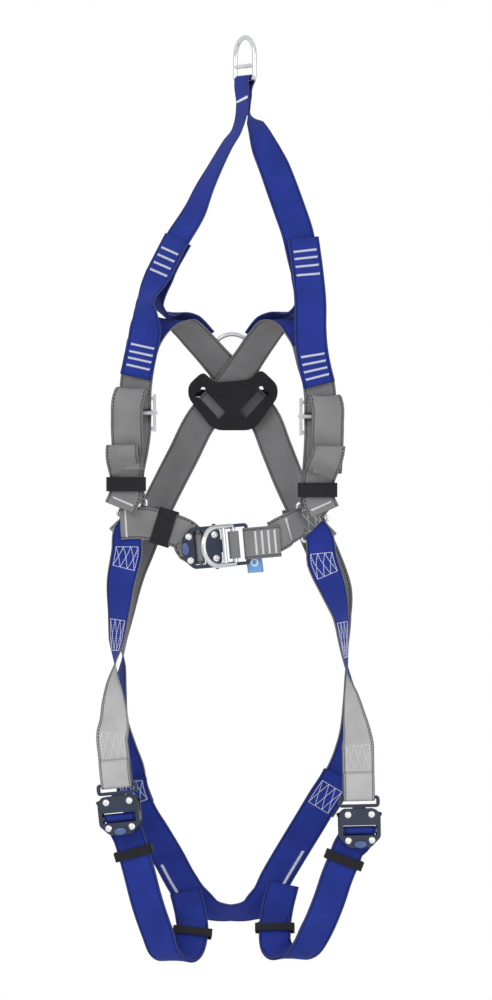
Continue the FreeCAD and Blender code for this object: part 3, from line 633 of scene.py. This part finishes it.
def rescue_strap():
    ring = Frame((0, 0, 0), turn=-RESCUE_TURN)
    bar = ring.at(0, 0, RING_BASE)
    over = wrap(bar, -ring.x, -ring.y, 180, rod_wrap(RING_ROD / 2.0), 1, GATHERED)
    return route(RESCUE_UP) + over + route(RESCUE_DOWN)


def shoulder_strap(rows, bar_x, bar_z):
    up = route(rows)
    sewn = [(p + Vector((0, -PLY_STEP, 0)), -n, w) for p, n, w in up[:2]]
    end = (sewn[1][0] + Vector((3 if bar_x < 0 else -2, 1, 16)), sewn[1][1], WEB_WIDTH)
    bar = Vector((bar_x, ADJUSTER_Y, bar_z))
    around = wrap(bar, (1, 0, 0), (0, -1, 0), 180, rod_wrap(ADJUSTER_ROD), -1)
    return [end, sewn[1], sewn[0]] + around + up


def on_delta(a, b, away, sweep=180):
    """Webbing round one side of a hip ring, from behind to the front."""
    start = Vector((a[0], DELTA_Y, a[1]))
    stop = Vector((b[0], DELTA_Y, b[1]))
    middle = (start + stop) * 0.5
    along = (stop - start).normalized()
    away = Vector(away)
    flat = (away - along * away.dot(along)).normalized()
    axis = Vector((0, 1, 0)).cross(flat)
    if turned((0, 1, 0), axis, 90).dot(flat) > 0:
        axis = -axis
    width = min(GATHERED, (stop - start).length - CORNERS)
    around = wrap(middle, axis, (0, 1, 0), sweep, rod_wrap(DELTA_ROD / 2.0), 1, width)
    back = around[0][0] + flat * SEWN_BACK - Vector((0, 1.5, 0))
    return [(back, around[0][1], width)] + around


def load_strap(rows, tail_rows, delta):
    start = on_delta(delta[0], delta[2], (0, 0, 1))
    down = route(rows)
    low = (down[-1][0] + Vector((0, -3, -9)), Vector((0, 0, -1)), WEB_WIDTH)
    return start + down + [low] + route(tail_rows)


def hip_strap(rows, delta, place):
    start = on_delta(delta[1], delta[2], (0, 0, -1))
    flat = []
    for past in (STRAP_STRAIGHT, 45.0, STRAP_FROM):
        flat.append(station(place.at(0, 0, LEG_TONGUE_BAR + past), place.y))
    return start + route(rows) + flat


def tongue_loop(place, bar_z, front_more=0.0):
    radius = rod_wrap(BAR_R)
    top = bar_z + LOOP_REACH
    around = wrap(place.at(0, 0, bar_z), place.x, -place.y, 180, radius, -1, IN_SLOT)
    front = station(place.at(0, -radius, top + front_more), place.y, IN_SLOT)
    back = station(place.at(0, radius, top), -place.y, IN_SLOT)
    return [front] + around + [back]


def buckle_wrap(place):
    bar = place.at(0, 0, BAR_Z)
    radius = rod_wrap(BAR_R)
    low = station(place.at(0, GAP + SHEET + 1.0, BAR_Z - radius), -place.z)
    high = station(place.at(0, GAP + SHEET + 1.0, BAR_Z + radius), place.z)
    near = station(place.at(0, LOAD_PLY, BAR_Z - 9.5), -place.y)
    bend = station(place.at(0, TAIL_PLY - 1.2, BAR_Z + 2.6), place.z + place.y)
    far = station(place.at(0, TAIL_PLY, BAR_Z - 3.0), place.y)
    turn = wrap(bar, place.x, -place.z, -180, radius)
    return [near, low] + turn + [high, bend, far]


def leg_strap(rows, place, tail_stop, tail_out):
    load = route(rows)
    tail = flipped(offset(load[:tail_stop], -PLY_STEP))
    tip = (tail[0][0] + Vector(tail_out), tail[0][1], WEB_WIDTH)
    return [tip] + tail + list(reversed(buckle_wrap(place))) + load


def chest_strap_left():
    start = on_delta(DELTA_LEFT[0], DELTA_LEFT[1], (1, 0, 0))
    return start + route(CHEST_LOAD) + flipped(buckle_wrap(CHEST_FRAME)) + route(CHEST_TAIL)


def chest_strap_right():
    return on_delta(DELTA_RIGHT[0], DELTA_RIGHT[1], (-1, 0, 0), 125) + route(CHEST_RIGHT)


# ---- materials ----------------------------------------------------------------------
class Nodes:
    """A small builder for procedural materials."""

    def __init__(self, name, rough, metallic=0.0):
        self.material = bpy.data.materials.new(name)
        self.material.use_nodes = True
        self.tree = self.material.node_tree
        self.shader = self.tree.nodes["Principled BSDF"]
        self.shader.inputs["Roughness"].default_value = rough
        self.shader.inputs["Metallic"].default_value = metallic
        self.place = None

    def node(self, kind, **values):
        made = self.tree.nodes.new(kind)
        for key, value in values.items():
            setattr(made, key, value)
        return made

    def link(self, value, socket):
        if isinstance(value, (int, float)):
            socket.default_value = value
        elif isinstance(value, tuple):
            socket.default_value = (*value, 1.0)
        else:
            self.tree.links.new(value, socket)

    def math(self, operation, a, b=0.0, c=0.0):
        made = self.node("ShaderNodeMath", operation=operation)
        for value, socket in zip((a, b, c), made.inputs):
            self.link(value, socket)
        return made.outputs[0]

    def mix(self, factor, a, b):
        made = self.node("ShaderNodeMix", data_type="RGBA")
        self.link(factor, made.inputs["Factor"])
        self.link(a, made.inputs["A"])
        self.link(b, made.inputs["B"])
        return made.outputs["Result"]

    def noise(self, scale, detail=2.0):
        if self.place is None:
            self.place = self.node("ShaderNodeTexCoord").outputs["Object"]
        made = self.node("ShaderNodeTexNoise")
        made.inputs["Scale"].default_value = scale
        made.inputs["Detail"].default_value = detail
        self.link(self.place, made.inputs["Vector"])
        return made.outputs["Fac"]

    def uv(self):
        found = self.node("ShaderNodeUVMap", uv_map="flat").outputs["UV"]
        split = self.node("ShaderNodeSeparateXYZ")
        self.link(found, split.inputs[0])
        return split.outputs["X"], split.outputs["Y"]

    def color(self, value):
        self.link(value, self.shader.inputs["Base Color"])

    def bump(self, height, strength, distance):
        made = self.node("ShaderNodeBump")
        made.inputs["Strength"].default_value = strength
        made.inputs["Distance"].default_value = distance
        self.link(height, made.inputs["Height"])
        self.link(made.outputs["Normal"], self.shader.inputs["Normal"])

    def set(self, **values):
        for key, value in values.items():
            self.shader.inputs[key.replace("_", " ")].default_value = value
        return self


EDGE_LINE_AT = 0.430      # the sewn line's place, in strap widths from the middle
EDGE_LINE_HALF = 0.019    # and half its own width


def webbing(name, low, high, line):
    """Twill webbing: fine diagonal ribs, a soft crumple painted into the colour as shade, and a dark
    dotted sewn line by each edge.
    """
    m = Nodes(name, 0.9)
    u, v = m.uv()
    across = m.math("MULTIPLY", u, WEB_WIDTH)
    along = m.math("MULTIPLY", v, WEB_WIDTH)
    slant = m.math("PINGPONG", across, 5.6)
    twill = m.math("SINE", m.math("MULTIPLY", m.math("ADD", along, slant), 4.6))
    cross = m.math("SINE", m.math("MULTIPLY", across, 7.4))
    weave = m.math("MULTIPLY_ADD", m.math("ADD", twill, m.math("MULTIPLY", cross, 0.6)), 0.16, 0.42)
    # Large soft noise makes the colour lighter and darker as painted crumple shade.
    crumple_shade = m.noise(26.0, 3.0)
    tone = m.math("ADD", weave, m.math("MULTIPLY_ADD", crumple_shade, 0.7, -0.32))
    color = m.mix(tone, low, high)
    height = m.math("ADD", weave, m.math("MULTIPLY", m.noise(75.0, 2.0), 1.3))
    side = m.math("ABSOLUTE", m.math("ADD", u, -0.5))
    from_line = m.math("ABSOLUTE", m.math("ADD", side, -EDGE_LINE_AT))
    on_line = m.math("LESS_THAN", from_line, EDGE_LINE_HALF)
    dash = m.math("GREATER_THAN", m.math("SINE", m.math("MULTIPLY", along, 1.75)), -0.45)
    mask = m.math("MULTIPLY", on_line, dash)
    color = m.mix(m.math("MULTIPLY", mask, 0.97), color, line)
    groove = m.math("MULTIPLY", on_line, 0.9)
    height = m.math("SUBTRACT", height, groove)
    m.color(color)
    m.bump(height, 0.45, 0.0006)
    m.set(Sheen_Weight=0.04, Sheen_Roughness=0.5, Specular_IOR_Level=0.12)
    return m.material


def cloth_plain(name, low, high):
    m = Nodes(name, 0.8)
    m.color(m.mix(m.noise(900.0), low, high))
    m.bump(m.noise(1400.0), 0.3, 0.0003)
    return m.material


def metal(name, low, high, rough, grain=0.05, scale=400.0, metallic=1.0):
    m = Nodes(name, rough, metallic)
    m.color(m.mix(m.noise(60.0, 3.0), low, high))
    fine = m.noise(scale, 3.0)
    m.link(m.math("MULTIPLY_ADD", fine, grain * 2, rough - grain), m.shader.inputs["Roughness"])
    m.bump(fine, 0.06, 0.0002)
    return m.material


def moulded(name, low, high, rough, scale=900.0):
    m = Nodes(name, rough)
    m.color(m.mix(m.noise(90.0, 3.0), low, high))
    m.bump(m.noise(scale, 2.0), 0.25, 0.0003)
    m.set(Specular_IOR_Level=0.12)
    return m.material


def tag_material():
    """A plain woven tag: a sewn border and a generic ring mark."""
    m = Nodes("tag_cloth", 0.7)
    u, v = m.uv()
    x = m.math("ADD", u, -0.5)
    y = m.math("ADD", v, -0.29)
    tall = m.math("MULTIPLY", m.math("MULTIPLY", y, y), 4.2)
    reach = m.math("SQRT", m.math("ADD", m.math("MULTIPLY", x, x), tall))
    ring = m.math("LESS_THAN", m.math("ABSOLUTE", m.math("ADD", reach, -0.2)), 0.05)
    border = m.math("GREATER_THAN", m.math("ABSOLUTE", x), 0.43)
    cloth = m.mix(m.noise(700.0), (0.10, 0.24, 0.48), (0.16, 0.33, 0.58))
    color = m.mix(ring, cloth, (0.62, 0.72, 0.82))
    m.color(m.mix(m.math("MULTIPLY", border, 0.6), color, (0.05, 0.10, 0.28)))
    m.bump(m.noise(1100.0), 0.3, 0.0003)
    return m.material


BLUE = webbing("webbing_blue", (0.008, 0.016, 0.115), (0.022, 0.042, 0.300), (0.002, 0.003, 0.015))
GREY = webbing("webbing_grey", (0.11, 0.11, 0.112), (0.25, 0.25, 0.255), (0.008, 0.008, 0.009))
# A darker copy of the grey webbing: its colour is painted shade, for the shoulder straps' back faces.
GREY_SHADED = webbing("webbing_grey_shaded", (0.10, 0.10, 0.103), (0.22, 0.22, 0.225), (0.008, 0.008, 0.009))
# A paler copy of the grey webbing: its colour is painted light, for the hip straps' and hip loops' back
# faces.
GREY_LIT = webbing("webbing_grey_lit", (0.26, 0.26, 0.262), (0.50, 0.50, 0.505), (0.012, 0.012, 0.014))
BLUE_EDGE = cloth_plain("selvedge_blue", (0.006, 0.012, 0.08), (0.016, 0.030, 0.18))
GREY_EDGE = cloth_plain("selvedge_grey", (0.06, 0.06, 0.062), (0.15, 0.15, 0.153))
WHITE_THREAD = cloth_plain("thread_white", (0.60, 0.60, 0.62), (0.86, 0.86, 0.88))
PALE_THREAD = cloth_plain("thread_pale", (0.42, 0.44, 0.56), (0.66, 0.68, 0.80))
GREY_THREAD = cloth_plain("thread_grey", (0.46, 0.46, 0.47), (0.70, 0.70, 0.71))
TAG = tag_material()
SLOT_LOOKS = {
    "ring_steel": metal("ring_steel", (0.50, 0.51, 0.53), (0.70, 0.71, 0.73), 0.2),
    "adjuster_steel": metal("adjuster_steel", (0.40, 0.41, 0.43), (0.60, 0.61, 0.63), 0.34, 0.08),
    "rivet_steel": metal("rivet_steel", (0.60, 0.60, 0.61), (0.80, 0.80, 0.81), 0.26),
    "slate_alloy": metal(
        "slate_alloy", (0.022, 0.028, 0.046), (0.036, 0.046, 0.074), 0.38, 0.06, 700.0, 0.55
    ),
    "lever_black": metal(
        "lever_black", (0.008, 0.008, 0.009), (0.020, 0.020, 0.022), 0.42, 0.06, 500.0, 0.4
    ),
    "black_plastic": moulded("black_plastic", (0.008, 0.008, 0.009), (0.018, 0.018, 0.020), 0.6),
}
THUMB_BLUE = metal("thumb_blue", (0.055, 0.085, 0.20), (0.085, 0.13, 0.29), 0.36, 0.05, 700.0, 0.45)

# ---- straps, with the body that each rides on ---------------------------------------
RIBBONS = {
    "rescue_strap": (rescue_strap(), BLUE, BLUE, BLUE_EDGE, "harness"),
    "link_front_left": (route(LINK_FRONT_LEFT), BLUE, BLUE, BLUE_EDGE, "harness"),
    "link_front_right": (route(LINK_FRONT_RIGHT), BLUE, BLUE, BLUE_EDGE, "harness"),
    "link_rear_left": (route(LINK_REAR_LEFT), BLUE, BLUE, BLUE_EDGE, "harness"),
    "link_rear_right": (route(LINK_REAR_RIGHT), BLUE, BLUE, BLUE_EDGE, "harness"),
    # The shoulder straps' back face takes the darker grey copy, which is painted shade.
    "shoulder_strap_left": (
        shoulder_strap(SHOULDER_LEFT, *ADJUSTER_LEFT),
        BLUE, GREY_SHADED, GREY_EDGE, "harness",
    ),
    "shoulder_strap_right": (
        shoulder_strap(SHOULDER_RIGHT, *ADJUSTER_RIGHT),
        BLUE, GREY_SHADED, GREY_EDGE, "harness",
    ),
    "seat_strap": (route(SEAT), BLUE, BLUE, BLUE_EDGE, "harness"),
    # The hip straps' back face takes the paler grey copy, which is painted light.
    "hip_strap_left": (
        hip_strap(HIP_LEFT, DELTA_LEFT, LEG_LEFT_FRAME),
        BLUE, GREY_LIT, GREY_EDGE, "harness",
    ),
    "hip_strap_right": (
        hip_strap(HIP_RIGHT, DELTA_RIGHT, LEG_RIGHT_FRAME),
        BLUE, GREY_LIT, GREY_EDGE, "harness",
    ),
    # The hip loops' back face takes the paler grey copy, which is painted light.
    "hip_loop_left": (
        tongue_loop(LEG_LEFT_FRAME, LEG_TONGUE_BAR),
        BLUE, GREY_LIT, GREY_EDGE, "leg_left_tongue",
    ),
    "hip_loop_right": (
        tongue_loop(LEG_RIGHT_FRAME, LEG_TONGUE_BAR),
        BLUE, GREY_LIT, GREY_EDGE, "leg_right_tongue",
    ),
    "chest_loop": (
        tongue_loop(CHEST_FRAME, CHEST_TONGUE_BAR, CHEST_FRONT_MORE),
        GREY, GREY, GREY_EDGE, "chest_tongue",
    ),
    "leg_strap_left": (
        leg_strap(LEG_LEFT, LEG_LEFT_FRAME, 9, (6, 4, 12)),
        BLUE, BLUE, BLUE_EDGE, "harness",
    ),
    "leg_strap_right": (
        leg_strap(LEG_RIGHT, LEG_RIGHT_FRAME, 9, (-2, 4, 12)),
        BLUE, BLUE, BLUE_EDGE, "harness",
    ),
    "adjuster_strap_left": (
        load_strap(LOAD_LEFT, TAIL_END_LEFT, DELTA_LEFT),
        GREY, GREY, GREY_EDGE, "harness",
    ),
    "adjuster_strap_right": (
        load_strap(LOAD_RIGHT, TAIL_END_RIGHT, DELTA_RIGHT),
        GREY, GREY, GREY_EDGE, "harness",
    ),
    "chest_strap_left": (chest_strap_left(), GREY, GREY, GREY_EDGE, "harness"),
    "chest_strap_right": (chest_strap_right(), GREY, GREY, GREY_EDGE, "harness"),
}
STRAPS = {}


def lay_straps():
    for name, (stations, front, back, edge, body) in RIBBONS.items():
        ribbon = Ribbon(stations)
        STRAPS[name] = ribbon
        obj = ribbon_mesh(name + "_web", ribbon, front, back, edge)
        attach(obj, body)
        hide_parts(name)


def face_of(ribbon, run, look):
    """1 if the strap's outer face looks that way there, else -1."""
    p, n = ribbon.on(run, 0.0, 1)
    return 1 if n.dot(Vector(look)) > 0 else -1


FRONT = (0, -1, 0)
BACK = (0, 1, 0)


def rows_of_zigzags(threads, name, spots, look=FRONT, since=0.0, until=1.0, half=16.5):
    ribbon = STRAPS[name]
    for x, z in spots:
        run = ribbon.near(x, z, since, until)
        threads.zigzag(ribbon, run, face_of(ribbon, run, look), half)


def sewn_box(threads, name, x, top, low, look=FRONT, since=0.0, until=1.0):
    """A sewn box on the strap from height top down to height low, near x."""
    ribbon = STRAPS[name]
    middle = ribbon.near(x, (top + low) / 2.0, since, until)
    half = (top - low) / 2.0
    threads.box(ribbon, middle - half, middle + half, face_of(ribbon, middle, look))


def sew_harness():
    white = Threads()
    rows_of_zigzags(white, "link_front_left", ((-105, -280), (-110, -290), (-116, -300), (-121, -310)))
    rows_of_zigzags(white, "link_front_left", ((-143, -413), (-145, -423), (-147, -432), (-149, -442)))
    rows_of_zigzags(white, "link_front_right", ((82, -280), (84, -290), (86, -301), (88, -313)))
    rows_of_zigzags(white, "link_front_right", ((93, -426), (96, -436), (98, -446), (100, -456)))
    rows_of_zigzags(white, "link_rear_left", ((-91, -272), (-97, -283), (-103, -294), (-109, -305)), BACK)
    rows_of_zigzags(white, "link_rear_right", ((77, -272), (80, -283), (83, -294), (85, -305)), BACK)
    rows_of_zigzags(white, "chest_strap_right", ((60, -667),))
    for name, x, z in (("adjuster_strap_left", -168, -630), ("adjuster_strap_right", 105, -636)):
        ribbon = STRAPS[name]
        run = ribbon.near(x, z, 0.8)
        white.bar(ribbon, run, face_of(ribbon, run, FRONT))
    ribbon = STRAPS["chest_strap_left"]
    run = ribbon.near(-166, -660, 0.7)
    white.bar(ribbon, run, face_of(ribbon, run, FRONT), 19.0)
    ribbon = STRAPS["rescue_strap"]
    for x, z, since, until in ((-3, -67, 0.0, 0.5), (1, -67, 0.5, 1.0)):
        run = ribbon.near(x, z, since, until)
        white.bar(ribbon, run, 1, 19.0, 2.4)
    ribbon = STRAPS["seat_strap"]
    for x0, z0, x1, z1, across in ((-106, -1133, -82, -1176, -1), (84, -1121, 60, -1172, 1)):
        r0, r1 = ribbon.near(x0, z0), ribbon.near(x1, z1)
        side = across * ribbon.right_is(r0)
        white.tack(ribbon, r0, r1, side * 13.5, face_of(ribbon, r0, FRONT))
    white.finish("stitches_white", WHITE_THREAD, "harness")

    pale = Threads()
    sewn_box(pale, "seat_strap", -151, -1020, -1052, FRONT, 0.0, 0.3)
    sewn_box(pale, "seat_strap", 113, -1026, -1062, FRONT, 0.7)
    sewn_box(pale, "hip_strap_left", -166, -692, -722)
    sewn_box(pale, "hip_strap_right", 112, -700, -732)
    sewn_box(pale, "hip_strap_left", -181, -794, -837, (-1, -0.4, 0))
    sewn_box(pale, "hip_strap_right", 136, -798, -847, (1, -0.4, 0))
    pale.finish("stitches_pale", PALE_THREAD, "harness")

    grey = Threads()
    sewn_box(grey, "hip_strap_left", -185, -952, -986)
    sewn_box(grey, "hip_strap_right", 157, -968, -1003)
    sewn_box(grey, "shoulder_strap_left", 88, -640, -672, FRONT, 0.4, 0.8)
    sewn_box(grey, "shoulder_strap_right", -130, -640, -672, FRONT, 0.4, 0.8)
    grey.finish("stitches_grey", GREY_THREAD, "harness")


def sew_chest_loop():
    threads = Threads()
    ribbon = STRAPS["chest_loop"]
    for past in (0.0, 9.0, 18.0, 27.0):
        run = LOOP_REACH - past
        threads.zigzag(ribbon, run, face_of(ribbon, run, FRONT))
    threads.finish("stitches_chest_loop", WHITE_THREAD, "chest_tongue")


# ---- small pieces -------------------------------------------------------------------
def dome(name, place, centre, half_x, half_z, high, material, body):
    """A shallow oval dome that looks along -y of its frame."""
    rings, around = 5, 36
    verts = [place.at(centre[0], centre[1] - high, centre[2])]
    for r in range(1, rings + 1):
        s = r / rings
        depth = centre[1] - high * math.sqrt(max(0.0, 1.0 - s ** 2.6))
        for k in range(around):
            a = 2 * math.pi * k / around
            across = centre[0] + half_x * s * math.cos(a)
            verts.append(place.at(across, depth, centre[2] + half_z * s * math.sin(a)))
    faces = [(0, 1 + (k + 1) % around, 1 + k) for k in range(around)]
    for r in range(rings - 1):
        for k in range(around):
            j = (k + 1) % around
            a, b = 1 + r * around, 1 + (r + 1) * around
            faces.append((a + k, a + j, b + j, b + k))
    last = 1 + (rings - 1) * around
    faces.append(tuple(last + k for k in range(around)))
    obj = mesh_object(name, verts, faces)
    obj.data.materials.append(material)
    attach(obj, body)
    return obj


def thumb_rests():
    middle = (0, -GAP - SHEET - 1.6, -24.5)
    buckles = {"leg_left": LEG_LEFT_FRAME, "leg_right": LEG_RIGHT_FRAME, "chest": CHEST_FRAME}
    for name, place in buckles.items():
        pad = dome(name + "_thumb_pad", place, middle, 9.4, 5.2, 1.0, THUMB_BLUE, "harness")


TAG_WIDTH = 22.0
TAG_THICK = 0.8
TAG_ROUTE = [
    (11, -54.8, -701, 0),
    (12, -55.4, -708, 0),
    (13.6, -55.2, -716, 0),
    (14.6, -54.4, -723, 0),
    (15, -54.6, -728, 0),
]


def tag():
    ribbon = Ribbon(route(TAG_ROUTE, TAG_WIDTH), TAG_THICK)
    obj = ribbon_mesh("tag_cloth", ribbon, TAG, TAG, TAG)
    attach(obj, "harness")
    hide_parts("label_tag")


def paint_frame():
    """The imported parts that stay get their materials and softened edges."""
    for entry in frame["record"]["subparts"]:
        node = frame["nodes"][entry["node"]]
        look = SLOT_LOOKS.get(entry["material_slot"])
        if entry["node"] == "ring_loop":
            look = LOOP_CLOTH
        if look is None:
            continue
        for spot in node.material_slots:
            spot.material = look
        soften = node.modifiers.new("soft_edges", "BEVEL")
        soften.width = 0.0004
        soften.segments = 2
        soften.limit_method = "ANGLE"
        soften.angle_limit = math.radians(40)


LOOP_CLOTH = cloth_plain("ring_loop_cloth", (0.10, 0.10, 0.105), (0.20, 0.20, 0.21))

# ---- studio -------------------------------------------------------------------------
VIEW_MIDDLE = Vector((0.0014, 0.0, -0.627))
VIEW_HEIGHT = 1.400
CAMERA_AWAY = 9.0
SENSOR = 24.0
FLOOR_HALF = 2.0
FLOOR_HEIGHT = -1.62


def studio():
    mesh = bpy.data.meshes.new("floor")
    edge, deep = FLOOR_HALF, FLOOR_HEIGHT
    corners = [(-edge, -edge, deep), (edge, -edge, deep), (edge, edge, deep), (-edge, edge, deep)]
    mesh.from_pydata(corners, [], [(0, 1, 2, 3)])
    floor = bpy.data.objects.new("floor", mesh)
    bpy.context.scene.collection.objects.link(floor)
    pale = bpy.data.materials.new("floor_pale")
    pale.use_nodes = True
    pale.node_tree.nodes["Principled BSDF"].inputs["Base Color"].default_value = (0.9, 0.9, 0.9, 1)
    mesh.materials.append(pale)
    world = bpy.data.worlds.new("studio")
    world.use_nodes = True
    world.node_tree.nodes["Background"].inputs[0].default_value = (1, 1, 1, 1)
    world.node_tree.nodes["Background"].inputs[1].default_value = 1.0
    bpy.context.scene.world = world
    lamp("key", (-1.6, -2.6, 0.9), 1.6, 34)
    lamp("fill", (1.9, -2.2, -0.3), 1.8, 18)
    bpy.context.scene.view_settings.view_transform = "Standard"
    data = bpy.data.cameras.new("camera")
    data.sensor_fit = "VERTICAL"
    data.sensor_height = SENSOR
    data.lens = SENSOR * CAMERA_AWAY / VIEW_HEIGHT
    data.clip_end = 40.0
    camera = bpy.data.objects.new("camera", data)
    camera.location = VIEW_MIDDLE - Vector((0, CAMERA_AWAY, 0))
    camera.rotation_euler = (math.radians(90), 0, 0)
    bpy.context.scene.collection.objects.link(camera)
    bpy.context.scene.camera = camera


def lamp(name, place, size, power):
    data = bpy.data.lights.new(name, "AREA")
    data.size = size
    data.energy = power
    light = bpy.data.objects.new(name, data)
    light.location = place
    aim = VIEW_MIDDLE - Vector(place)
    light.rotation_euler = aim.to_track_quat("-Z", "Y").to_euler()
    bpy.context.scene.collection.objects.link(light)


lay_straps()
sew_harness()
sew_chest_loop()
thumb_rests()
tag()
paint_frame()
studio()
